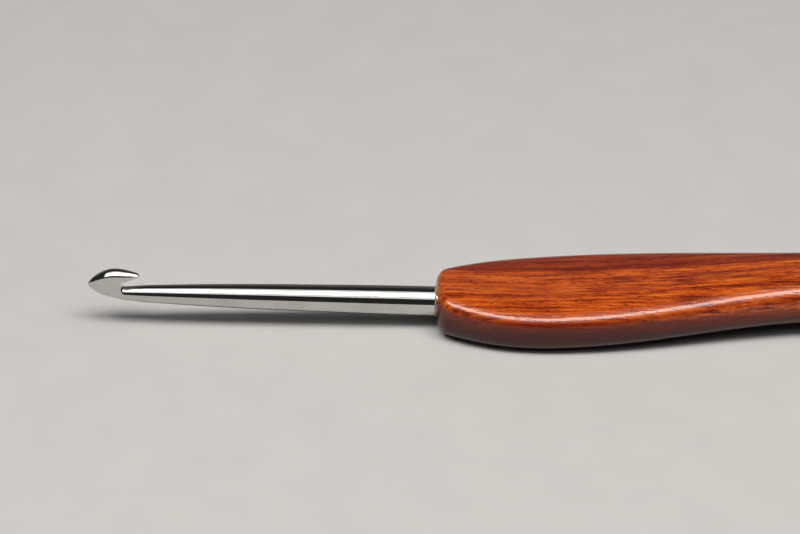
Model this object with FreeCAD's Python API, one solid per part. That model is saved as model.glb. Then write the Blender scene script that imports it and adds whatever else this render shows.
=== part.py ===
"""Crochet hook: a polished steel hook glued into a flat, sculpted hardwood handle.

Millimetres. The hook points along -X and the handle's butt along +X. +Z is up when the handle
lies on its sole, with the mouth of the hook open upwards. The origin is the middle of the
underside of the whole object. Everything is first made about the point where the shank's axis
leaves the handle's front face, and is moved to that origin at the end.
"""

import FreeCAD
import Part
import math
import os

Vec = FreeCAD.Vector

# Steel shank, measured along its own axis from the handle's front face
shank_diameter = 3.75           # nominal hook size
shank_parallel = 3.0            # plain cylindrical stretch next to the handle
exposed_length = 43.5           # front face to the tip of the hook
taper_middle_diameter = 3.42    # half way along the slow part of the taper
taper_front_diameter = 2.78     # where the quick part of the taper sets in
taper_quick_length = 6.9        # quick part, up to the point of the lip
throat_end_diameter = 2.16      # under the point of the lip
neck_diameter = 1.6             # thinnest, at the root of the throat
nose_lift_angle = 1.75          # degrees that the shank climbs towards the hook

# Hook head, flat on both sides, arched on top and rounded off to the tip
head_length = 7.1               # point of the lip to the tip
head_height = 3.75              # back to top at the fullest section
head_width = 1.9                # across the flat sides
lip_narrowing = 0.98            # share of the width lost by the point of the lip, seen from above
head_back_drop = 0.3            # back of the head below the shank's axis
head_fullest = 3.4              # tip to the fullest section
tip_height = 1.25               # tip above the shank's axis
head_fullness = 3.0             # 2 is an oval section, more is squarer
throat_height = 1.15            # at the root, neck to lip
throat_depth = 2.8              # point of the lip to the root
throat_rise = 20.0              # degrees that the lip's underside climbs to its point
throat_chamfer = 0.05           # broken off the edges of the lip and throat
flank_height = 1.4              # lower edge of the flat sides above the axis, at the root
flank_slope = 0.56              # how fast that edge drops towards the tip

# Glued joint: the shank enters a shallow socket, and a thinner tang goes on into a blind bore
socket_depth = 2.5
tang_step = 0.375               # tang thinner than the shank by this all round
tang_length = 20.0
tang_chamfer = 0.5
glue_gap = 0.1                  # adhesive all round shank and tang
glue_pocket = 0.8               # adhesive beyond the tang's end
glue_bead = 0.22                # adhesive squeezed out round the shank
groove_depth = 0.2              # keys cut round the tang for the adhesive
groove_width = 1.2
groove_places = [6.5, 11.0, 15.5]

# Wooden handle, measured along X from its front face
handle_length = 95.0
front_face_width = 7.6
front_rounding = 1.4
paddle_width = 16.2             # widest stretch, under thumb and forefinger
paddle_at = 17.5
waist_width = 10.4              # finger groove
waist_at = 50.0
palm_width = 13.4
palm_at = 74.0
butt_length = 13.0              # length of the rounded rear end
handle_thickness = 5.9
palm_thickness = 6.8
side_sweep = 1.3                # middle of the waist, to the far side of the shank's axis
arch_rise = 1.45                # lift of the waist off the table
arch_start = 8.0
front_rise = 0.4                # lift of the front face's middle
front_rise_length = 15.0
sole_flat = 0.12                # sanded off the underside, so that the handle lies still
paddle_fullness = 4.0           # 2 is an oval section, more is squarer
waist_fullness = 3.0
shoulder_fullness = 2.7         # how fast the front shoulders swell

shank_radius = shank_diameter / 2.0
socket_radius = shank_radius + glue_gap
tang_radius = shank_radius - tang_step
bore_radius = tang_radius + glue_gap
bore_depth = tang_length + glue_pocket
neck_radius = neck_diameter / 2.0
lip_at = exposed_length - head_length
root_at = lip_at + throat_depth
fullest_at = exposed_length - head_fullest
taper_front_at = lip_at - taper_quick_length
taper_middle_at = (shank_parallel + taper_front_at) / 2.0
half_thickness = handle_thickness / 2.0
sole_middle = half_thickness - sole_flat
butt_start = handle_length - butt_length
reach = 3.0 * handle_length     # comfortably past the object on every side


def ease(x, start, end):
    """0 up to start and 1 from end on, level at both."""
    t = min(max((x - start) / (end - start), 0.0), 1.0)
    return t * t * (3.0 - 2.0 * t)


def rounded_section(x, y_middle, z_middle, half_width, half_height, fullness, narrow=None):
    """A closed smooth section across X. narrow(z) is the share of the width kept at a height."""
    count = 36
    points = []
    for i in range(count):
        angle = 2.0 * math.pi * i / count
        c, s = math.cos(angle), math.sin(angle)
        y = half_width * math.copysign(abs(c) ** (2.0 / fullness), c)
        z = z_middle + half_height * math.copysign(abs(s) ** (2.0 / fullness), s)
        if narrow:
            y *= narrow(z)
        points.append(Vec(x, y_middle + y, z))
    curve = Part.BSplineCurve()
    curve.interpolate(Points=points, PeriodicFlag=True)
    return Part.Wire([curve.toShape()])


def turned(profile):
    """A solid of revolution about the X axis. profile starts and ends on the axis."""
    edges = [Part.makeLine(a, b) for a, b in zip(profile, profile[1:])]
    return Part.Face(Part.Wire(edges)).revolve(Vec(0, 0, 0), Vec(1, 0, 0), 360.0)


# Shape of the handle at a distance behind its front face

def swell_at(s):
    """0 at the front face, 1 from the paddle on."""
    return 1.0 - (1.0 - min(max(s / paddle_at, 0.0), 1.0)) ** shoulder_fullness


def half_width_at(s):
    if s < paddle_at:
        return (front_face_width + (paddle_width - front_face_width) * swell_at(s)) / 2.0
    groove = (waist_width - paddle_width) * ease(s, paddle_at, waist_at)
    palm = (palm_width - waist_width) * ease(s, waist_at, palm_at)
    return (paddle_width + groove + palm) / 2.0


def half_height_at(s):
    return half_thickness + (palm_thickness - handle_thickness) / 2.0 * ease(s, paddle_at, palm_at)


def fullness_at(s):
    return paddle_fullness + (waist_fullness - paddle_fullness) * ease(s, paddle_at, waist_at)


def front_inset_at(s):
    """How far the rounded front edge has drawn in, from the front face back."""
    left = max(front_rounding - s, 0.0)
    return front_rounding - math.sqrt(front_rounding ** 2 - left ** 2)


def sideways_at(s):
    return side_sweep * (ease(s, 0.0, waist_at) - ease(s, waist_at, handle_length + butt_length))


def height_at(s):
    nose = front_rise * max(1.0 - s / front_rise_length, 0.0) ** 2
    arch = ease(s, arch_start, waist_at) - ease(s, waist_at, palm_at + butt_length / 2.0)
    return sole_middle + nose + arch_rise * arch + half_height_at(s) - half_thickness


root = Vec(0.0, 0.0, height_at(0.0))


def set_in_handle(shape):
    """From the shank's own frame, tip along -X, to its place in the handle."""
    placed = shape.copy()
    placed.rotate(Vec(0, 0, 0), Vec(0, 1, 0), nose_lift_angle)
    placed.translate(root)
    return placed


def handle_section(s, inset=0.0, width_share=1.0, height_share=1.0):
    return rounded_section(s, sideways_at(s), height_at(s), half_width_at(s) * width_share - inset,
                           half_height_at(s) * height_share - inset, fullness_at(s))


def handle_sections():
    wires = [handle_section(s, front_inset_at(s))
             for s in [front_rounding * share for share in (0.0, 0.08, 0.28, 0.6)]]
    count = 20
    for i in range(count):
        wires.append(handle_section(front_rounding + (butt_start - front_rounding) * i / (count - 1.0)))
    for q in (0.35, 0.6, 0.78, 0.9, 0.965, 0.995):
        wires.append(handle_section(butt_start + q * butt_length, 0.0,
                                    (1.0 - q ** 2.2) ** (1.0 / 2.2), (1.0 - q ** 3.0) ** (1.0 / 3.0)))
    return wires


def make_handle():
    body = Part.makeLoft(handle_sections(), True, False)
    above_table = Part.makeBox(reach, reach, reach, Vec(-reach / 3.0, -reach / 2.0, 0.0))
    mouth = 2.0 * glue_bead         # clear past the front face, which isn't quite square to the shank
    bore = turned([
        Vec(-mouth, 0, 0),
        Vec(-mouth, 0, socket_radius),
        Vec(socket_depth, 0, socket_radius),
        Vec(socket_depth, 0, bore_radius),
        Vec(bore_depth, 0, bore_radius),
        Vec(bore_depth, 0, 0),
        Vec(-mouth, 0, 0),
    ])
    return body.common(above_table).cut(set_in_handle(bore))


def make_tang():
    """In the shank's own frame, behind the front face: full shank, then a grooved tang."""
    shoulder_at = socket_depth - glue_gap
    groove_radius = tang_radius - groove_depth
    profile = [
        Vec(0, 0, 0),
        Vec(0, 0, shank_radius),
        Vec(shoulder_at, 0, shank_radius),
        Vec(shoulder_at, 0, tang_radius),
    ]
    for place in groove_places:
        profile += [
            Vec(place - groove_width / 2.0, 0, tang_radius),
            Vec(place - groove_width / 2.0 + groove_depth, 0, groove_radius),
            Vec(place + groove_width / 2.0 - groove_depth, 0, groove_radius),
            Vec(place + groove_width / 2.0, 0, tang_radius),
        ]
    profile += [
        Vec(tang_length - tang_chamfer, 0, tang_radius),
        Vec(tang_length, 0, tang_radius - tang_chamfer),
        Vec(tang_length, 0, 0),
        Vec(0, 0, 0),
    ]
    return turned(profile)


def make_shank():
    """In the shank's own frame: the turned bar in front of the handle, down to the neck."""
    inside_at = fullest_at + 0.6        # the neck ends inside the head
    inside_radius = 0.6 * neck_radius
    taper = Part.BSplineCurve()
    taper.interpolate(
        Points=[
            Vec(-shank_parallel, 0, shank_radius),
            Vec(-taper_middle_at, 0, taper_middle_diameter / 2.0),
            Vec(-taper_front_at, 0, taper_front_diameter / 2.0),
            Vec(-lip_at, 0, throat_end_diameter / 2.0),
            Vec(-root_at, 0, neck_radius),
            Vec(-inside_at, 0, inside_radius),
        ],
        InitialTangent=Vec(-1, 0, 0),
        FinalTangent=Vec(-1, 0, -0.1),
    )
    corners = [
        Vec(-inside_at, 0, inside_radius),
        Vec(-inside_at, 0, 0),
        Vec(0, 0, 0),
        Vec(0, 0, shank_radius),
        Vec(-shank_parallel, 0, shank_radius),
    ]
    edges = [Part.makeLine(a, b) for a, b in zip(corners, corners[1:])]
    outline = Part.Wire(Part.__sortEdges__([taper.toShape()] + edges))
    return Part.Face(outline).revolve(Vec(0, 0, 0), Vec(1, 0, 0), 360.0)


def head_section(t, top, back, half_width):
    """Below the lower edge of the flat sides the section falls away to the neck."""
    edge = flank_height - flank_slope * (t - root_at)
    kept = 0.5 + 0.5 * ease(t, root_at, root_at + throat_height)

    def narrow(z):
        return kept + (1.0 - kept) * ease(z, edge - neck_radius, edge)

    return rounded_section(-t, 0.0, (top + back) / 2.0, half_width, (top - back) / 2.0,
                           head_fullness, narrow)


def head_sections():
    top_full = head_height - head_back_drop
    wires = []
    for q in (0.02, 0.15, 0.32, 0.5, 0.68, 0.85):
        short = 1.0 - q
        t = lip_at + q * (fullest_at - lip_at)
        top = top_full - 0.24 * head_height * short ** 2
        back = -head_back_drop - 0.12 * short
        wires.append(head_section(t, top, back, head_width / 2.0 * (1.0 - lip_narrowing * short ** 2)))
    for q in (0.0, 0.22, 0.42, 0.6, 0.76, 0.88, 0.955, 0.99):
        t = fullest_at + q * head_fullest
        bulge = (1.0 - q ** 1.8) ** 0.82
        top = tip_height + (top_full - tip_height) * bulge
        back = tip_height - (tip_height + head_back_drop) * bulge
        wires.append(head_section(t, top, back, head_width / 2.0 * (1.0 - q ** 2.6) ** 0.62))
    return wires


def throat_space():
    """Everything under the lip, from the rounded root of the throat backwards."""
    r = throat_height / 2.0
    rise = math.radians(throat_rise)
    centre = Vec(r - root_at, 0, neck_radius + r)
    upper = centre + Vec(-math.sin(rise) * r, 0, math.cos(rise) * r)
    middle = centre + Vec(-math.cos(rise / 2.0) * r, 0, -math.sin(rise / 2.0) * r)
    lower = centre + Vec(0, 0, -r)
    run = 2.0 * head_length
    far_upper = upper + Vec(math.cos(rise) * run, 0, math.sin(rise) * run)
    corners = [lower, Vec(lower.x, 0, -head_height), Vec(far_upper.x, 0, -head_height), far_upper, upper]
    edges = [Part.makeLine(a, b) for a, b in zip(corners, corners[1:])]
    outline = Part.Wire([Part.Arc(upper, middle, lower).toShape()] + edges)
    side = Part.Face(outline)
    side.translate(Vec(0, -head_width, 0))
    return side.extrude(Vec(0, 2.0 * head_width, 0))


def make_hook():
    head = Part.makeLoft(head_sections(), True, False).cut(throat_space())
    throat_edges = [e for e in head.Edges if e.BoundBox.XMin > -root_at - throat_chamfer]
    head = head.makeChamfer(throat_chamfer, throat_edges)
    return set_in_handle(make_tang().fuse([make_shank(), head]).removeSplitter())


def make_adhesive(handle):
    """Fills what the steel leaves of the bore, with a fine bead round the shank."""
    room = turned([
        Vec(-glue_bead, 0, 0),
        Vec(-glue_bead, 0, shank_radius + glue_gap / 4.0),
        Vec(-glue_bead / 3.0, 0, shank_radius + glue_bead / 2.0),
        Vec(0, 0, shank_radius + glue_bead),
        Vec(glue_gap, 0, shank_radius + glue_bead),
        Vec(glue_gap, 0, socket_radius),
        Vec(socket_depth, 0, socket_radius),
        Vec(socket_depth, 0, bore_radius),
        Vec(bore_depth, 0, bore_radius),
        Vec(bore_depth, 0, 0),
        Vec(-glue_bead, 0, 0),
    ])
    bar = Part.makeCylinder(shank_radius, 2.0 * glue_bead, Vec(-2.0 * glue_bead, 0, 0), Vec(1, 0, 0))
    return set_in_handle(room.cut(make_tang().fuse(bar))).cut(handle)


def main():
    handle = make_handle()
    pieces = {
        "steel_hook": make_hook(),
        "wooden_handle": handle,
        "tang_adhesive": make_adhesive(handle),
    }
    box = Part.makeCompound(list(pieces.values())).optimalBoundingBox(False, False)
    to_origin = Vec(-(box.XMin + box.XMax) / 2.0, -(box.YMin + box.YMax) / 2.0, -box.ZMin)
    print("shank axis at the front face", root + to_origin)
    os.makedirs("parts", exist_ok=True)
    for name, shape in pieces.items():
        shape.translate(to_origin)
        shape.exportStep("parts/" + name + ".step")
        print(name, "solids", len(shape.Solids), "valid", shape.isValid(), "mm3", round(shape.Volume, 1))


main()
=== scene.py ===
import math

import bpy
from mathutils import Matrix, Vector


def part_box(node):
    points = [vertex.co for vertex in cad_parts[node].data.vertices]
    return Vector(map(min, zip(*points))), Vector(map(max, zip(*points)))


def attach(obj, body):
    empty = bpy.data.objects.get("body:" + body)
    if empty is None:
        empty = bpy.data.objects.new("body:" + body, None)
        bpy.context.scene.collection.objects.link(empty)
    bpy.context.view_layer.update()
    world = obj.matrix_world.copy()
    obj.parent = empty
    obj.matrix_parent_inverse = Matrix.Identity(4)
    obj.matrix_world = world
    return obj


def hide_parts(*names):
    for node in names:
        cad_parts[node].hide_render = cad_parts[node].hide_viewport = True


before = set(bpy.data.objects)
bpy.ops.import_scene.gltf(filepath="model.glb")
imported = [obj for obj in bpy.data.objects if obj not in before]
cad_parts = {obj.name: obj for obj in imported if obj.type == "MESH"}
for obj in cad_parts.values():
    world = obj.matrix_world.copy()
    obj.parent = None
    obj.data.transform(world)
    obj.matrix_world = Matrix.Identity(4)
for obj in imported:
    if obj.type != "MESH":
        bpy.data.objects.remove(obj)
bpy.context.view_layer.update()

handleLow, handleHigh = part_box("wooden_handle")
glueLow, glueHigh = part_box("tang_adhesive")
mm = 0.001

print("frame loaded:", ", ".join(sorted(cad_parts)))


def linear(hexColour):
    # sRGB hex, as a colour picker shows it, to the linear values that shaders take
    channels = [int(hexColour[i:i + 2], 16) / 255 for i in (1, 3, 5)]
    return [c / 12.92 if c <= 0.04045 else ((c + 0.055) / 1.055) ** 2.4 for c in channels] + [1.0]


def ease(x, start, end):
    # 0 up to start and 1 from end on, level at both
    t = min(max((x - start) / (end - start), 0.0), 1.0)
    return t * t * (3 - 2 * t)


def mix(a, b, share):
    return a + (b - a) * share


def through(x, places, values):
    # straight lines between a few known sizes
    for i in range(len(places) - 1):
        if x <= places[i + 1]:
            return mix(values[i], values[i + 1], (x - places[i]) / (places[i + 1] - places[i]))
    return values[-1]


def patch(ring, across, down, bulge):
    # closes a ring of 2 * (across + down) points with a grid of quads, domed by bulge in its middle
    top = ring[:across + 1]
    right = ring[across:across + down + 1]
    bottom = [ring[(2 * across + down - i) % len(ring)] for i in range(across + 1)]
    left = [ring[(2 * (across + down) - i) % len(ring)] for i in range(down + 1)]
    grid = []
    for j in range(down + 1):
        v = j / down
        row = []
        for i in range(across + 1):
            u = i / across
            point = top[i] * (1 - v) + bottom[i] * v + left[j] * (1 - u) + right[j] * u
            point -= top[0] * (1 - u) * (1 - v) + top[-1] * u * (1 - v)
            point -= bottom[0] * (1 - u) * v + bottom[-1] * u * v
            row.append(point + bulge * (16 * u * (1 - u) * v * (1 - v)))
        grid.append(row)
    return grid


class Cage:
    # quads collected from rings of points, which share their points where they meet

    def __init__(self):
        self.points = []
        self.quads = []
        self.sharp = {}

    def add(self, ring):
        start = len(self.points)
        self.points += [Vector(p) for p in ring]
        return list(range(start, len(self.points)))

    def bridge(self, a, b, closed=True):
        for i in range(len(a) if closed else len(a) - 1):
            k = (i + 1) % len(a)
            self.quads.append((a[i], a[k], b[k], b[i]))

    def loft(self, rings):
        loops = [self.add(ring) for ring in rings]
        for a, b in zip(loops, loops[1:]):
            self.bridge(a, b)
        return loops

    def close(self, loop, across, down, bulge, flip=False):
        grid = patch([self.points[i] for i in loop], across, down, bulge)
        n = len(loop)
        index = [[None] * (across + 1) for _ in range(down + 1)]
        for i in range(across + 1):
            index[0][i] = loop[i]
            index[down][i] = loop[(2 * across + down - i) % n]
        for j in range(down + 1):
            index[j][across] = loop[across + j]
            index[j][0] = loop[(n - j) % n]
        for j in range(1, down):
            for i in range(1, across):
                index[j][i] = self.add([grid[j][i]])[0]
        for j in range(down):
            for i in range(across):
                quad = (index[j][i], index[j][i + 1], index[j + 1][i + 1], index[j + 1][i])
                self.quads.append(quad[::-1] if flip else quad)

    def crease(self, loop, amount, closed=True):
        for i in range(len(loop) if closed else len(loop) - 1):
            self.sharp[frozenset((loop[i], loop[(i + 1) % len(loop)]))] = amount

    def build(self, name, levels):
        mesh = bpy.data.meshes.new(name)
        mesh.from_pydata(self.points, [], self.quads)
        mesh.update()
        creases = mesh.attributes.new("crease_edge", "FLOAT", "EDGE")
        for edge in mesh.edges:
            creases.data[edge.index].value = self.sharp.get(frozenset(edge.vertices), 0.0)
        piece = bpy.data.objects.new(name, mesh)
        bpy.context.scene.collection.objects.link(piece)
        bpy.context.view_layer.objects.active = piece
        piece.select_set(True)
        bpy.ops.object.mode_set(mode="EDIT")
        bpy.ops.mesh.select_all(action="SELECT")
        bpy.ops.mesh.normals_make_consistent(inside=False)
        bpy.ops.object.mode_set(mode="OBJECT")
        piece.select_set(False)
        mesh.polygons.foreach_set("use_smooth", [True] * len(mesh.polygons))
        smooth = piece.modifiers.new("smooth", "SUBSURF")
        smooth.levels = levels
        smooth.render_levels = levels
        return piece


# Wooden handle, mm, measured along X from its front face
handle = {
    "frontWidth": 7.6,
    "frontRounding": 1.4,
    "paddleWidth": 16.2,
    "paddleAt": 17.5,
    "waistWidth": 10.4,
    "waistAt": 50.0,
    "palmWidth": 13.4,
    "palmAt": 74.0,
    "buttLength": 13.0,
    "thickness": 5.9,
    "palmThickness": 6.8,
    "sideSweep": 1.3,
    "archRise": 1.45,
    "archStart": 8.0,
    "frontRise": 0.4,
    "frontRiseLength": 15.0,
    "soleFlat": 0.12,
    "paddleFullness": 4.0,
    "waistFullness": 3.0,
    "shoulderFullness": 2.7,
    "socketRadius": 1.975,
    "socketDepth": 2.5,
    "boreRadius": 1.6,
    "boreDepth": 20.8,
    "boreStepLength": 0.02,     # the socket's floor, all but flat
    "mouthLength": 0.05,        # edge of the socket's mouth, broken over this length
    "mouthBevel": 0.03,
    "faceShare": 0.85,          # a ring this far out from the mouth keeps the front face flat
    "buttWidthFullness": 2.2,   # 2 rounds the butt off as an oval, more is squarer
    "buttHeightFullness": 3,
    "buttDome": 0.06,
    "frontStations": (0.0, 0.03, 0.12, 0.28, 0.5, 0.75),    # shares of the front rounding
    "buttStations": (0.12, 0.24, 0.36, 0.48, 0.59, 0.69, 0.78, 0.86, 0.925, 0.97, 0.993),
    "bodyStations": 44,
    "bodySpacing": 1.25,        # more than 1 sets the stations closer together at the front
    "around": 48,
    "smoothing": 2,
}
handle["length"] = (handleHigh.x - handleLow.x) / mm
axisAside = (glueLow.y + glueHigh.y) / 2 / mm


def halfWidthAt(s):
    h = handle
    if s < h["paddleAt"]:
        swell = 1 - (1 - max(s / h["paddleAt"], 0)) ** h["shoulderFullness"]
        return mix(h["frontWidth"], h["paddleWidth"], swell) / 2
    groove = (h["waistWidth"] - h["paddleWidth"]) * ease(s, h["paddleAt"], h["waistAt"])
    palm = (h["palmWidth"] - h["waistWidth"]) * ease(s, h["waistAt"], h["palmAt"])
    return (h["paddleWidth"] + groove + palm) / 2


def halfHeightAt(s):
    h = handle
    return mix(h["thickness"], h["palmThickness"], ease(s, h["paddleAt"], h["palmAt"])) / 2


def sidewaysAt(s):
    h = handle
    return h["sideSweep"] * (ease(s, 0, h["waistAt"]) - ease(s, h["waistAt"], h["length"] + h["buttLength"]))


def heightAt(s):
    h = handle
    nose = h["frontRise"] * max(1 - s / h["frontRiseLength"], 0) ** 2
    arch = ease(s, h["archStart"], h["waistAt"]) - ease(s, h["waistAt"], h["palmAt"] + h["buttLength"] / 2)
    return halfHeightAt(s) - h["soleFlat"] + nose + h["archRise"] * arch


def anglesAround():
    # starts at the upper corner of the far side, so that four equal quarters close an end
    count = handle["around"]
    return [2 * math.pi * (i + count / 8) / count for i in range(count)]


def handleRing(s, inset=0.0, widthShare=1.0, heightShare=1.0):
    h = handle
    fullness = mix(h["paddleFullness"], h["waistFullness"], ease(s, h["paddleAt"], h["waistAt"]))
    halfWidth = halfWidthAt(s) * widthShare - inset
    halfHeight = halfHeightAt(s) * heightShare - inset
    ring = []
    for a in anglesAround():
        c, n = math.cos(a), math.sin(a)
        reach = (abs(c) ** fullness + abs(n) ** fullness) ** (-1 / fullness)
        y = axisAside + sidewaysAt(s) + halfWidth * reach * c
        z = heightAt(s) + halfHeight * reach * n
        ring.append(Vector((s, y, max(z, 0.0))))
    return ring


def boreRing(depth, radius):
    # round the shank's own axis, which dips towards the butt
    lift = math.radians(hook["liftAngle"])
    ring = []
    for a in anglesAround():
        y, z = radius * math.cos(a), radius * math.sin(a)
        x = depth * math.cos(lift) + z * math.sin(lift)
        up = heightAt(0) - depth * math.sin(lift) + z * math.cos(lift)
        ring.append(Vector((x, axisAside + y, up)))
    return ring


def buildHandle():
    # one skin from the floor of the bore out over the front face and back to the butt
    h = handle
    cage = Cage()
    rings = [boreRing(h["boreDepth"], h["boreRadius"]),
             boreRing(h["socketDepth"] + h["boreStepLength"], h["boreRadius"]),
             boreRing(h["socketDepth"], h["socketRadius"]),
             boreRing(h["mouthLength"], h["socketRadius"])]
    mouth = [Vector((0.0, p.y, p.z)) for p in boreRing(0.0, h["socketRadius"] + h["mouthBevel"])]
    rings.append(mouth)
    rounding = h["frontRounding"]
    rim = handleRing(0.0, rounding)
    rings.append([m.lerp(r, h["faceShare"]) for m, r in zip(mouth, rim)])
    for share in h["frontStations"]:
        s = rounding * share
        rings.append(handleRing(s, rounding - math.sqrt(rounding ** 2 - (rounding - s) ** 2)))
    buttStart = h["length"] - h["buttLength"]
    for i in range(h["bodyStations"] + 1):
        share = (i / h["bodyStations"]) ** h["bodySpacing"]
        rings.append(handleRing(mix(rounding, buttStart, share)))
    for q in h["buttStations"]:
        widthShare = (1 - q ** h["buttWidthFullness"]) ** (1 / h["buttWidthFullness"])
        heightShare = (1 - q ** h["buttHeightFullness"]) ** (1 / h["buttHeightFullness"])
        rings.append(handleRing(buttStart + q * h["buttLength"], 0.0, widthShare, heightShare))
    loops = cage.loft(rings)
    quarter = h["around"] // 4
    cage.close(loops[-1], quarter, quarter, Vector((h["buttDome"], 0, 0)))
    cage.close(loops[0], quarter, quarter, Vector((0, 0, 0)), flip=True)
    for loop in loops[1:3]:
        cage.crease(loop, 1.0)
    for i, p in enumerate(cage.points):
        cage.points[i] = Vector((handleLow.x + p.x * mm, p.y * mm, p.z * mm))
    return cage.build("woodenHandle", h["smoothing"])


# Steel hook, mm, measured along its own axis from the handle's front face towards the tip
hook = {
    "liftAngle": 1.75,
    "shankRadius": 1.875,
    "tangRadius": 1.5,
    "tangLength": 20.0,
    "shoulderAt": 2.4,
    "grooves": [6.5, 11.0, 15.5],
    "grooveWidth": 1.2,
    "grooveDepth": 0.2,
    "grooveLead": 0.05,         # eases the edge between tang and groove
    "shoulderLead": 0.01,
    "tangChamfer": 0.5,
    "tangCrease": 0.6,
    "exposed": 43.5,
    "lipAt": 36.4,
    "rootAt": 39.2,
    "fullestAt": 40.1,
    "neckRadius": 0.8,
    "taperPlaces": [0.0, 3.0, 8.0, 16.25, 23.0, 29.5, 33.0, 36.4, 39.2],
    "taperRadii": [1.875, 1.875, 1.83, 1.71, 1.575, 1.39, 1.23, 1.08, 0.80],
    "shankStations": [0.0, 1.5, 3.0, 5.5, 8.0, 11.0, 14.0, 17.0, 20.0, 23.0, 26.0, 28.5, 30.5, 32.0,
                      33.5, 35.0, 36.2, 37.2, 38.0, 38.65],
    "headHeight": 3.75,
    "headHalfWidth": 0.95,
    "backDrop": 0.3,
    "tipHeight": 1.25,
    "throatHeight": 1.15,
    "throatRise": 20.0,         # degrees that the lip's underside climbs to its point
    "throatCorner": 0.35,       # the climb begins this far from the root, towards the handle
    "throatWall": 0.1,          # the throat's end wall stands this far past the root, towards the tip
    "throatRim": 0.08,          # and the rim of that wall this far
    "throatRimCrease": 0.55,
    "ceilingLift": 0.06,        # evens out what the smoothing takes off the ceiling of the throat
    "lipSlack": 0.03,           # and the same off the lip's underside
    "lipThinnest": 0.10,
    "lipFallHeight": 1.1,       # where the lip is thinner, its rounded top flattens to fit
    "lipTopFall": 0.24,         # share of the head's height lost by the point of the lip
    "lipBackRise": 0.12,
    "lipNarrowing": 0.98,       # share of the width lost by the point of the lip
    "nosePowers": (1.8, 0.82),  # how the head rounds off to the tip, seen from the side
    "noseNarrowing": (2.6, 0.62),   # and seen from above
    # half sections, shares of the half width and half height: top, top edge, flat side, lower edge, back
    "headSection": [(0, 1.02), (0.51, 0.945), (1.0, 0.75), (1.02, 0.55), (1.02, 0.2),
                    (1.02, -0.30), (0.96, -0.84), (0.5, -1.05), (0, -1.05)],
    "lipSection": [(0, 0), (0.51, 0.11), (1.0, 0.43), (1.02, 0.72)],    # the second is mm below the top
    "underShares": (0.68, 0.34, 0, -0.34, -0.68),   # points across the lip's underside
    "lipStations": [38.75, 38.25, 37.8, 37.4, 37.05],
    # each is its place and how far its lower half still is the round neck
    "headStations": [(39.7, 0.62), (40.25, 0.22), (40.8, 0.0), (41.35, 0.0), (41.9, 0.0), (42.4, 0.0),
                     (42.8, 0.0), (43.12, 0.0), (43.36, 0.0)],
    "tipDome": 0.10,
    "smoothing": 3,
}
# smoothing draws a ring of twelve points inwards, so they stand proud by this factor
ringProud = 6 / (4 + 2 * math.cos(math.pi / 6))


def shankRing(t, radius):
    # twelve points, from 150 degrees over the top, down the near side and round the back
    ring = []
    for i in range(12):
        a = math.radians(150 - 30 * i)
        ring.append(Vector((t, radius * ringProud * math.cos(a), radius * ringProud * math.sin(a))))
    return ring


def headOutline(t):
    # top, back and half width of the head
    k = hook
    full = k["headHeight"] - k["backDrop"]
    if t < k["fullestAt"]:
        short = 1 - (t - k["lipAt"]) / (k["fullestAt"] - k["lipAt"])
        top = full - k["lipTopFall"] * k["headHeight"] * short ** 2
        back = -k["backDrop"] - k["lipBackRise"] * short
        return top, back, k["headHalfWidth"] * (1 - k["lipNarrowing"] * short ** 2)
    q = (t - k["fullestAt"]) / (k["exposed"] - k["fullestAt"])
    inner, outer = k["nosePowers"]
    bulge = (1 - q ** inner) ** outer
    top = mix(k["tipHeight"], full, bulge)
    back = mix(k["tipHeight"], -k["backDrop"], bulge)
    inner, outer = k["noseNarrowing"]
    return top, back, k["headHalfWidth"] * (1 - q ** inner) ** outer


def underLip(t):
    # height of the lip's underside
    k = hook
    climb = max(k["rootAt"] - k["throatCorner"] - t, 0) * math.tan(math.radians(k["throatRise"]))
    return k["neckRadius"] + k["throatHeight"] + climb - k["lipSlack"]


def headRing(t, neckShare):
    # sixteen points. neckShare 1 has the last four of the half section on the round neck, from 0 to
    # -90 degrees, and the one before them at the ceiling of the throat
    k = hook
    top, back, halfWidth = headOutline(t)
    middle, half = (top + back) / 2, (top - back) / 2
    r = k["neckRadius"] * ringProud
    ceilingPoint = len(k["headSection"]) - 5
    halfRing = []
    for i, (u, v) in enumerate(k["headSection"]):
        y, z = u * halfWidth, middle + v * half
        if i == ceilingPoint:
            z = mix(z, k["neckRadius"] + k["throatHeight"] + k["ceilingLift"], neckShare)
        if i > ceilingPoint:
            a = math.radians(-30 * (i - ceilingPoint - 1))
            y = mix(y, r * math.cos(a), neckShare)
            z = mix(z, r * math.sin(a), neckShare)
        halfRing.append((y, z))
    ring = [Vector((t, y, z)) for y, z in halfRing]
    return ring + [Vector((t, -y, z)) for y, z in reversed(halfRing[1:-1])]


def lipRing(t):
    # nine points over the lip, then five across its underside
    k = hook
    top, _, halfWidth = headOutline(t)
    low = min(underLip(t), top - k["lipThinnest"])
    fall = min((top - low) / k["lipFallHeight"], 1.0)
    over = [(u, top - drop * fall) for u, drop in k["lipSection"]] + [(1.0, low)]
    side = [Vector((t, u * halfWidth, z)) for u, z in over]
    far = [Vector((t, -p.y, p.z)) for p in side]
    inside = [Vector((t, halfWidth * u, low)) for u in k["underShares"]]
    return list(reversed(far[1:])) + side + inside


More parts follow.
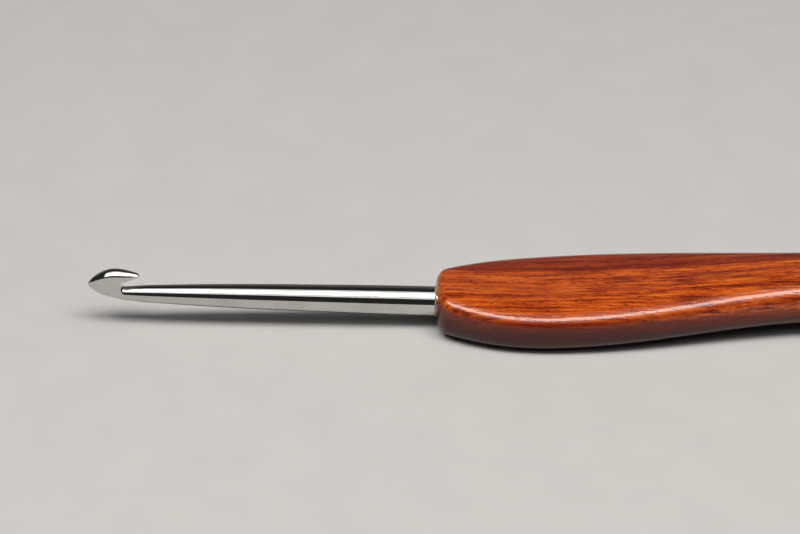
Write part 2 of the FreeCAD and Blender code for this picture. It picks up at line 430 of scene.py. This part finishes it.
def shankProfile():
    # places and radii of the tang with its grooves, then of the shank down to the neck
    k = hook
    tang, lead = k["tangRadius"], k["grooveLead"]
    half, deep = k["grooveWidth"] / 2, tang - k["grooveDepth"]
    profile = [(-k["tangLength"], tang - k["tangChamfer"]), (k["tangChamfer"] - k["tangLength"], tang)]
    for place in reversed(k["grooves"]):
        profile += [(-place - half - lead, tang), (k["grooveDepth"] - place - half, deep),
                    (half - k["grooveDepth"] - place, deep), (half + lead - place, tang)]
    profile += [(-k["shoulderAt"] - k["shoulderLead"], tang), (-k["shoulderAt"], k["shankRadius"])]
    shoulder = len(profile)
    profile += [(t, through(t, k["taperPlaces"], k["taperRadii"])) for t in k["shankStations"]]
    return profile, shoulder


def buildHook():
    k = hook
    cage = Cage()
    profile, shoulder = shankProfile()
    loops = cage.loft([shankRing(t, r) for t, r in profile])
    cage.crease(loops[0], k["tangCrease"])
    for loop in loops[shoulder - 2:shoulder]:
        cage.crease(loop, 1.0)
    cage.close(loops[0], 3, 3, Vector((0, 0, 0)), flip=True)

    # root of the throat: the lower half of the head carries on as the neck, the upper half as the lip
    root = cage.add(headRing(k["rootAt"] + k["throatRim"], 1.0))
    near, far = root[:9], [root[0]] + root[:8:-1] + [root[8]]
    wallAt = k["rootAt"] + k["throatWall"]
    floor = cage.add([Vector((wallAt, p.y, p.z)) for p in shankRing(0, k["neckRadius"])[:5]])
    level = k["neckRadius"] + k["throatHeight"] + k["ceilingLift"]
    side = cage.points[near[4]].y
    ceiling = cage.add([Vector((wallAt, side * u, level)) for u in k["underShares"]])
    cage.bridge(loops[-1], floor + near[5:8] + [root[8]] + far[7:4:-1])
    cage.bridge([near[5]] + floor[::-1] + [far[5]], [near[4]] + ceiling + [far[4]], closed=False)
    for edge in ([near[4], near[5]], [far[4], far[5]]):
        cage.crease(edge, k["throatRimCrease"], closed=False)

    # lip, whose end is so thin that its top is sewn to its underside
    loop = far[4:0:-1] + near[:5] + ceiling
    for t in k["lipStations"]:
        ring = cage.add(lipRing(t))
        cage.bridge(loop, ring)
        loop = ring
    over, under = loop[1:8], [loop[0]] + loop[:8:-1] + [loop[8]]
    cage.bridge(over, under, closed=False)

    # head, closed at the tip from its upper corner round
    loop = root
    for t, neckShare in k["headStations"]:
        ring = cage.add(headRing(t, neckShare))
        cage.bridge(loop, ring)
        loop = ring
    cage.close(loop[14:] + loop[:14], 4, 4, Vector((k["tipDome"], 0, 0)))

    lift = math.radians(k["liftAngle"])
    for i, p in enumerate(cage.points):
        x = -p.x * math.cos(lift) + p.z * math.sin(lift)
        z = p.x * math.sin(lift) + p.z * math.cos(lift)
        cage.points[i] = Vector((handleLow.x + x * mm, (axisAside + p.y) * mm, (heightAt(0) + z) * mm))
    return cage.build("steelHook", k["smoothing"])


def newMaterial(name):
    material = bpy.data.materials.new(name)
    material.use_nodes = True
    material.node_tree.nodes.clear()
    return material, material.node_tree


def addNode(tree, kind, settings=None, inputs=None):
    # settings are the node's own choices; an input is a plain value, or a socket to link from
    node = tree.nodes.new(kind)
    for name, value in (settings or {}).items():
        setattr(node, name, value)
    for name, value in (inputs or {}).items():
        if isinstance(value, bpy.types.NodeSocket):
            tree.links.new(value, node.inputs[name])
        else:
            node.inputs[name].default_value = value
    return node


def setStops(ramp, stops):
    elements = ramp.color_ramp.elements
    while len(elements) < len(stops):
        elements.new(0.5)
    for element, (place, colour) in zip(elements, stops):
        element.position = place
        element.color = linear(colour)


mixFirst, mixSecond, mixResult = 6, 7, 2    # a colour Mix node's sockets, whose names repeat
perMetre = 1000.0    # mm in one of the metres that object coordinates come in


def dress(piece, material):
    piece.data.materials.clear()
    piece.data.materials.append(material)


steelLook = {
    "colour": "#d0cecb",
    "smudged": "#c3c0bc",
    "roughness": 0.045,
    "smudgedRoughness": 0.085,
    "smudgeSize": 6.0,         # mm, finger marks
    "smudgeEdges": (0.42, 0.68),    # pattern values where a mark begins and is full
    "hairlineSpacing": 0.09,   # mm
    "hairlineStretch": 45,     # times longer than they are wide
    "hairlineDepth": 0.0004,   # mm
}


def makeSteel():
    # Stainless steel bar, turned, mopped and buffed bright: a clear mirror with the faintest
    # lengthwise hairlines, a trace of yellow in the grey, and slightly duller finger marks
    look = steelLook
    material, tree = newMaterial("buffedStainlessSteel")
    place = addNode(tree, "ShaderNodeTexCoord").outputs["Object"]
    smudgeSpace = addNode(tree, "ShaderNodeMapping", inputs={
        "Vector": place, "Scale": [perMetre / look["smudgeSize"]] * 3})
    smudge = addNode(tree, "ShaderNodeTexNoise", inputs={
        "Vector": smudgeSpace.outputs[0], "Scale": 1.0, "Detail": 3.0, "Roughness": 0.55})
    across = perMetre / look["hairlineSpacing"]
    hairSpace = addNode(tree, "ShaderNodeMapping", inputs={
        "Vector": place, "Scale": [across / look["hairlineStretch"], across, across]})
    hair = addNode(tree, "ShaderNodeTexNoise", inputs={
        "Vector": hairSpace.outputs[0], "Scale": 1.0, "Detail": 2.0, "Roughness": 0.5})
    begins, full = look["smudgeEdges"]
    worn = addNode(tree, "ShaderNodeMapRange", inputs={
        "Value": smudge.outputs["Fac"], "From Min": begins, "From Max": full})
    rough = addNode(tree, "ShaderNodeMapRange", inputs={
        "Value": worn.outputs[0], "To Min": look["roughness"], "To Max": look["smudgedRoughness"]})
    colour = addNode(tree, "ShaderNodeMix", {"data_type": "RGBA"}, {
        "Factor": worn.outputs[0], mixFirst: linear(look["colour"]), mixSecond: linear(look["smudged"])})
    bump = addNode(tree, "ShaderNodeBump", inputs={
        "Height": hair.outputs["Fac"], "Strength": 1.0, "Distance": look["hairlineDepth"] * mm})
    shader = addNode(tree, "ShaderNodeBsdfPrincipled", inputs={
        "Base Color": colour.outputs[mixResult], "Metallic": 1.0, "Roughness": rough.outputs[0],
        "Normal": bump.outputs[0]})
    addNode(tree, "ShaderNodeOutputMaterial", inputs={"Surface": shader.outputs[0]})
    return material


woodLook = {
    # the tone's value and its colour: latewood, red heart, orange heart, palest
    "figure": [(0.415, "#471405"), (0.465, "#77270a"), (0.510, "#9a4011"), (0.585, "#b85d1b")],
    # axis, mm along it where a band begins and is full, its share and colour. All are painted shade: a
    # darker, redder band along the far side, where the top turns away from the lights, deep red down the
    # sides and darker still low on the blank
    "paintedShadeBands": [("Y", 2.3, 2.8, 0.68, "#550d03"),
              ("Z", 5.1, 4.2, 0.8, "#590e02"),
              ("Z", 4.6, 2.3, 0.95, "#350300")],
    "lineColour": "#3f1105",
    "poreColour": "#220904",
    "pith": (0.0, 36.0, -14.0),   # mm, the tree's heart, beside and below the blank
    "ringWidth": 1.9,             # mm, growth rings
    "ringTaper": 0.012,           # how fast the rings close in along the blank
    "waver": (38, 9, 2.6),        # mm long, mm wide and mm of sway
    # mm long, mm wide and share of the tone; coarser than real fibres so that they show
    "streak": (20.0, 0.42, 0.29),
    "fibre": (3.6, 0.24, 0.22),
    "fleck": (0.7, 0.16, 0.13),   # short light and dark cells that catch the light one by one
    "mottle": (6.0, 1.5, 0.08),
    "cloud": (14.0, 4.0, 0.10),
    "ringShare": 0.18,
    "line": (60.0, 1.25),         # mm, the thin dark lines between growth layers
    "lineWidth": 0.022,           # in the pattern's own values
    "lineDepth": 0.5,
    "pore": (1.7, 0.09),          # mm
    "poreDepth": 0.7,
    "porelessShare": 0.35,
    "roughness": (0.34, 0.5),     # bare wood, under the film
    "lacquer": 0.04,              # roughness of the clear film
    "woodRelief": 0.02,           # mm
    "filmRelief": 0.013,          # mm, the film has sunk a little into the pores and fibres
}


def makeWood():
    # Rosewood with a poured gloss lacquer: red-brown to orange heartwood in fine lengthwise stripes,
    # short dark pores, sleepy darker patches, all under a hard clear film that mirrors the lights
    look = woodLook
    material, tree = newMaterial("lacqueredRosewood")
    place = addNode(tree, "ShaderNodeTexCoord").outputs["Object"]
    inMm = addNode(tree, "ShaderNodeVectorMath", {"operation": "SCALE"}, {"Vector": place, "Scale": perMetre})
    inMm = inMm.outputs[0]

    # slow waver of the grain along the blank
    waverLength, waverWidth, sway = look["waver"]
    waverSpace = addNode(tree, "ShaderNodeMapping", inputs={
        "Vector": inMm, "Scale": (1 / waverLength, 1 / waverWidth, 1 / waverWidth)})
    waver = addNode(tree, "ShaderNodeTexNoise", inputs={
        "Vector": waverSpace.outputs[0], "Scale": 1.0, "Detail": 3.0, "Roughness": 0.5})
    centred = addNode(tree, "ShaderNodeVectorMath", {"operation": "SUBTRACT"}, {
        0: waver.outputs["Color"], 1: (0.5, 0.5, 0.5)})
    sized = addNode(tree, "ShaderNodeVectorMath", {"operation": "MULTIPLY"}, {
        0: centred.outputs[0], 1: (0.0, sway, sway)})
    grain = addNode(tree, "ShaderNodeVectorMath", {"operation": "ADD"}, {0: inMm, 1: sized.outputs[0]})
    grain = grain.outputs[0]

    def figure(size, detail=3.0, roughness=0.55):
        # noise drawn out along the grain: size begins with mm along it and mm across it
        space = addNode(tree, "ShaderNodeMapping", inputs={
            "Vector": grain, "Scale": (1 / size[0], 1 / size[1], 1 / size[1])})
        noise = addNode(tree, "ShaderNodeTexNoise", inputs={
            "Vector": space.outputs[0], "Scale": 1.0, "Detail": detail, "Roughness": roughness})
        return noise.outputs["Fac"]

    # growth rings round a pith outside the blank
    offPith = addNode(tree, "ShaderNodeVectorMath", {"operation": "SUBTRACT"}, {0: grain, 1: look["pith"]})
    flatRings = addNode(tree, "ShaderNodeVectorMath", {"operation": "MULTIPLY"}, {
        0: offPith.outputs[0], 1: (look["ringTaper"], 1.0, 1.0)})
    radius = addNode(tree, "ShaderNodeVectorMath", {"operation": "LENGTH"}, {"Vector": flatRings.outputs[0]})
    rings = addNode(tree, "ShaderNodeMath", {"operation": "DIVIDE"}, {
        0: radius.outputs["Value"], 1: look["ringWidth"]})
    ringTone = addNode(tree, "ShaderNodeTexNoise", {"noise_dimensions": "1D"}, {
        "W": rings.outputs[0], "Scale": 1.3, "Detail": 5.0, "Roughness": 0.7}).outputs["Fac"]

    # one tone from them all, each weighed by how much of the figure it makes
    fibres = figure(look["fibre"], 3.0, 0.6)
    tone = 0.0
    for source, weight in ((ringTone, look["ringShare"]),
                           (figure(look["streak"], 4.0, 0.62), look["streak"][2]),
                           (fibres, look["fibre"][2]),
                           (figure(look["fleck"], 2.0), look["fleck"][2]),
                           (figure(look["mottle"]), look["mottle"][2]),
                           (figure(look["cloud"]), look["cloud"][2])):
        tone = addNode(tree, "ShaderNodeMath", {"operation": "MULTIPLY_ADD"}, {0: source, 1: weight, 2: tone})
        tone = tone.outputs[0]
    body = addNode(tree, "ShaderNodeValToRGB", inputs={"Fac": tone})
    setStops(body, look["figure"])

    across = addNode(tree, "ShaderNodeSeparateXYZ", inputs={"Vector": grain})
    colour = body.outputs["Color"]
    # painted shade: each band pulls the wood's colour towards its own darker one, by where it lies on the
    # blank
    for axis, begins, full, most, deep in look["paintedShadeBands"]:
        share = addNode(tree, "ShaderNodeMapRange", {"interpolation_type": "SMOOTHSTEP"}, {
            "Value": across.outputs[axis], "From Min": begins, "From Max": full,
            "To Min": 0.0, "To Max": most})
        shaded = addNode(tree, "ShaderNodeMix", {"data_type": "RGBA"}, {
            "Factor": share.outputs[0], mixFirst: colour, mixSecond: linear(deep)})
        colour = shaded.outputs[mixResult]

    # thin dark lines where a slow pattern crosses its middle
    offMiddle = addNode(tree, "ShaderNodeMath", {"operation": "SUBTRACT"}, {
        0: figure(look["line"], 2.0, 0.5), 1: 0.5})
    nearness = addNode(tree, "ShaderNodeMath", {"operation": "ABSOLUTE"}, {0: offMiddle.outputs[0]})
    lines = addNode(tree, "ShaderNodeMapRange", inputs={
        "Value": nearness.outputs[0], "From Min": 0.0, "From Max": look["lineWidth"],
        "To Min": look["lineDepth"], "To Max": 0.0})

    # pores: long cells of a stretched pattern, dark along their middles
    poreLength, poreWidth = look["pore"]
    poreAcross = 0.26 / poreWidth    # a pore's dark core is about a quarter of its cell
    poreSpace = addNode(tree, "ShaderNodeMapping", inputs={
        "Vector": grain, "Scale": (1 / poreLength, poreAcross, poreAcross)})
    pores = addNode(tree, "ShaderNodeTexVoronoi", inputs={"Vector": poreSpace.outputs[0], "Scale": 1.0})
    poreCore = addNode(tree, "ShaderNodeMapRange", inputs={
        "Value": pores.outputs["Distance"], "From Min": 0.12, "From Max": 0.30,
        "To Min": look["poreDepth"], "To Max": 0.0})
    pick = addNode(tree, "ShaderNodeSeparateColor", inputs={"Color": pores.outputs["Color"]})
    chosen = addNode(tree, "ShaderNodeMath", {"operation": "GREATER_THAN"}, {
        0: pick.outputs[0], 1: look["porelessShare"]})
    poreMask = addNode(tree, "ShaderNodeMath", {"operation": "MULTIPLY"}, {
        0: poreCore.outputs[0], 1: chosen.outputs[0]})
    for mask, dark in ((lines, look["lineColour"]), (poreMask, look["poreColour"])):
        marked = addNode(tree, "ShaderNodeMix", {"data_type": "RGBA"}, {
            "Factor": mask.outputs[0], mixFirst: colour, mixSecond: linear(dark)})
        colour = marked.outputs[mixResult]

    smoothest, roughest = look["roughness"]
    rough = addNode(tree, "ShaderNodeMapRange", inputs={
        "Value": fibres, "From Min": 0.3, "From Max": 0.7, "To Min": smoothest, "To Max": roughest})
    sunk = addNode(tree, "ShaderNodeMath", {"operation": "SUBTRACT"}, {0: fibres, 1: poreMask.outputs[0]})
    woodBump = addNode(tree, "ShaderNodeBump", inputs={
        "Height": sunk.outputs[0], "Strength": 1.0, "Distance": look["woodRelief"] * mm})
    filmBump = addNode(tree, "ShaderNodeBump", inputs={
        "Height": sunk.outputs[0], "Strength": 1.0, "Distance": look["filmRelief"] * mm})
    # the wood is wetted by its film, so it hardly shines itself
    shader = addNode(tree, "ShaderNodeBsdfPrincipled", inputs={
        "Base Color": colour, "Roughness": rough.outputs[0], "IOR": 1.5, "Specular IOR Level": 0.06,
        "Normal": woodBump.outputs[0], "Coat Weight": 1.0, "Coat Roughness": look["lacquer"],
        "Coat IOR": 1.45, "Coat Normal": filmBump.outputs[0]})
    addNode(tree, "ShaderNodeOutputMaterial", inputs={"Surface": shader.outputs[0]})
    return material


glueLook = {
    "colour": "#a9885c",
    "cloudy": "#86663d",
    "roughness": 0.22,
    "cloudSize": 0.6,     # mm
    "ripple": 0.01,       # mm
    "haze": 0.4,          # mm that light wanders inside it
}


def makeGlue():
    # Cured epoxy, wiped while wet: an amber, faintly cloudy bead with a soft gloss
    look = glueLook
    material, tree = newMaterial("curedAmberEpoxy")
    place = addNode(tree, "ShaderNodeTexCoord").outputs["Object"]
    space = addNode(tree, "ShaderNodeMapping", inputs={
        "Vector": place, "Scale": [perMetre / look["cloudSize"]] * 3})
    cloud = addNode(tree, "ShaderNodeTexNoise", inputs={
        "Vector": space.outputs[0], "Scale": 1.0, "Detail": 2.0})
    ramp = addNode(tree, "ShaderNodeValToRGB", inputs={"Fac": cloud.outputs["Fac"]})
    setStops(ramp, [(0.35, look["cloudy"]), (0.7, look["colour"])])
    bump = addNode(tree, "ShaderNodeBump", inputs={
        "Height": cloud.outputs["Fac"], "Strength": 1.0, "Distance": look["ripple"] * mm})
    shader = addNode(tree, "ShaderNodeBsdfPrincipled", inputs={
        "Base Color": ramp.outputs["Color"], "Roughness": look["roughness"], "IOR": 1.55,
        "Subsurface Weight": 0.15, "Subsurface Scale": look["haze"] * mm, "Normal": bump.outputs[0]})
    addNode(tree, "ShaderNodeOutputMaterial", inputs={"Surface": shader.outputs[0]})
    return material


steelHook = buildHook()
dress(steelHook, makeSteel())
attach(steelHook, "root")
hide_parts("steel_hook")
print("steel hook built:", len(steelHook.data.polygons), "faces before smoothing")

woodenHandle = buildHandle()
dress(woodenHandle, makeWood())
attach(woodenHandle, "root")
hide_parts("wooden_handle")
print("wooden handle built:", len(woodenHandle.data.polygons), "faces before smoothing")

dress(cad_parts["tang_adhesive"], makeGlue())
print("adhesive dressed")


studio = {
    "elevation": 32.0,      # degrees, camera above the table
    "distance": 378.0,      # mm
    "lens": 136.08,
    "targetAlong": -4.5,    # mm from the handle's front face
    "targetUp": 4.25,       # mm up the picture from the shank's axis
    "floor": "#9fa0a2",
    "floorMottle": "#9c9d9f",
    "mottlesPerMetre": 120.0,
    "floorSize": 6.0,       # metres
    "room": "#8c8c8c",
    "roomStrength": 0.10,
    "lightsAside": -0.03,   # share of a light's distance that it stands towards the tip
    # each is its name, colour, degrees up from the front, mm away, mm wide, mm deep and watts
    "lights": [("softbox", "#ffffff", 73.0, 550.0, 900.0, 620.0, 1.95),
               ("softboxMiddle", "#fff8ee", 73.0, 545.0, 760.0, 205.0, 5.3),
               ("backPanel", "#ffffff", 158.0, 1200.0, 2400.0, 700.0, 0.5)],
}


def makePaper():
    # Matte backdrop paper: plain pale grey with a barely seen mottle
    material, tree = newMaterial("mattBackdropPaper")
    place = addNode(tree, "ShaderNodeTexCoord").outputs["Object"]
    mottle = addNode(tree, "ShaderNodeTexNoise", inputs={
        "Vector": place, "Scale": studio["mottlesPerMetre"], "Detail": 3.0})
    ramp = addNode(tree, "ShaderNodeValToRGB", inputs={"Fac": mottle.outputs["Fac"]})
    setStops(ramp, [(0.3, studio["floorMottle"]), (0.7, studio["floor"])])
    shader = addNode(tree, "ShaderNodeBsdfPrincipled", inputs={
        "Base Color": ramp.outputs["Color"], "Roughness": 0.9})
    addNode(tree, "ShaderNodeOutputMaterial", inputs={"Surface": shader.outputs[0]})
    return material


def buildStudio():
    elevation = math.radians(studio["elevation"])
    look = Vector((0, math.cos(elevation), -math.sin(elevation)))
    up = Vector((0, math.sin(elevation), math.cos(elevation)))
    target = Vector((handleLow.x + studio["targetAlong"] * mm, axisAside * mm, heightAt(0) * mm))
    target += up * studio["targetUp"] * mm
    cameraData = bpy.data.cameras.new("camera")
    cameraData.lens = studio["lens"]
    cameraData.clip_start = 0.01
    camera = bpy.data.objects.new("camera", cameraData)
    camera.location = target - look * studio["distance"] * mm
    camera.rotation_euler = (math.radians(90 - studio["elevation"]), 0, 0)
    bpy.context.scene.collection.objects.link(camera)
    bpy.context.scene.camera = camera

    bpy.ops.mesh.primitive_plane_add(size=studio["floorSize"])
    floor = bpy.context.object
    floor.name = "floor"
    dress(floor, makePaper())

    world = bpy.data.worlds.new("room")
    bpy.context.scene.world = world
    world.use_nodes = True
    background = world.node_tree.nodes["Background"]
    background.inputs["Color"].default_value = linear(studio["room"])
    background.inputs["Strength"].default_value = studio["roomStrength"]

    for name, colour, degrees, away, width, depth, power in studio["lights"]:
        light = bpy.data.lights.new(name, "AREA")
        light.shape = "RECTANGLE"
        light.size, light.size_y = width * mm, depth * mm
        light.energy = power
        light.color = linear(colour)[:3]
        box = bpy.data.objects.new(name, light)
        a = math.radians(degrees)
        box.location = Vector((studio["lightsAside"], -math.cos(a), math.sin(a))) * away * mm
        box.rotation_euler = (math.radians(90 - degrees), 0, 0)
        bpy.context.scene.collection.objects.link(box)
    bpy.context.scene.view_settings.view_transform = "Standard"


buildStudio()
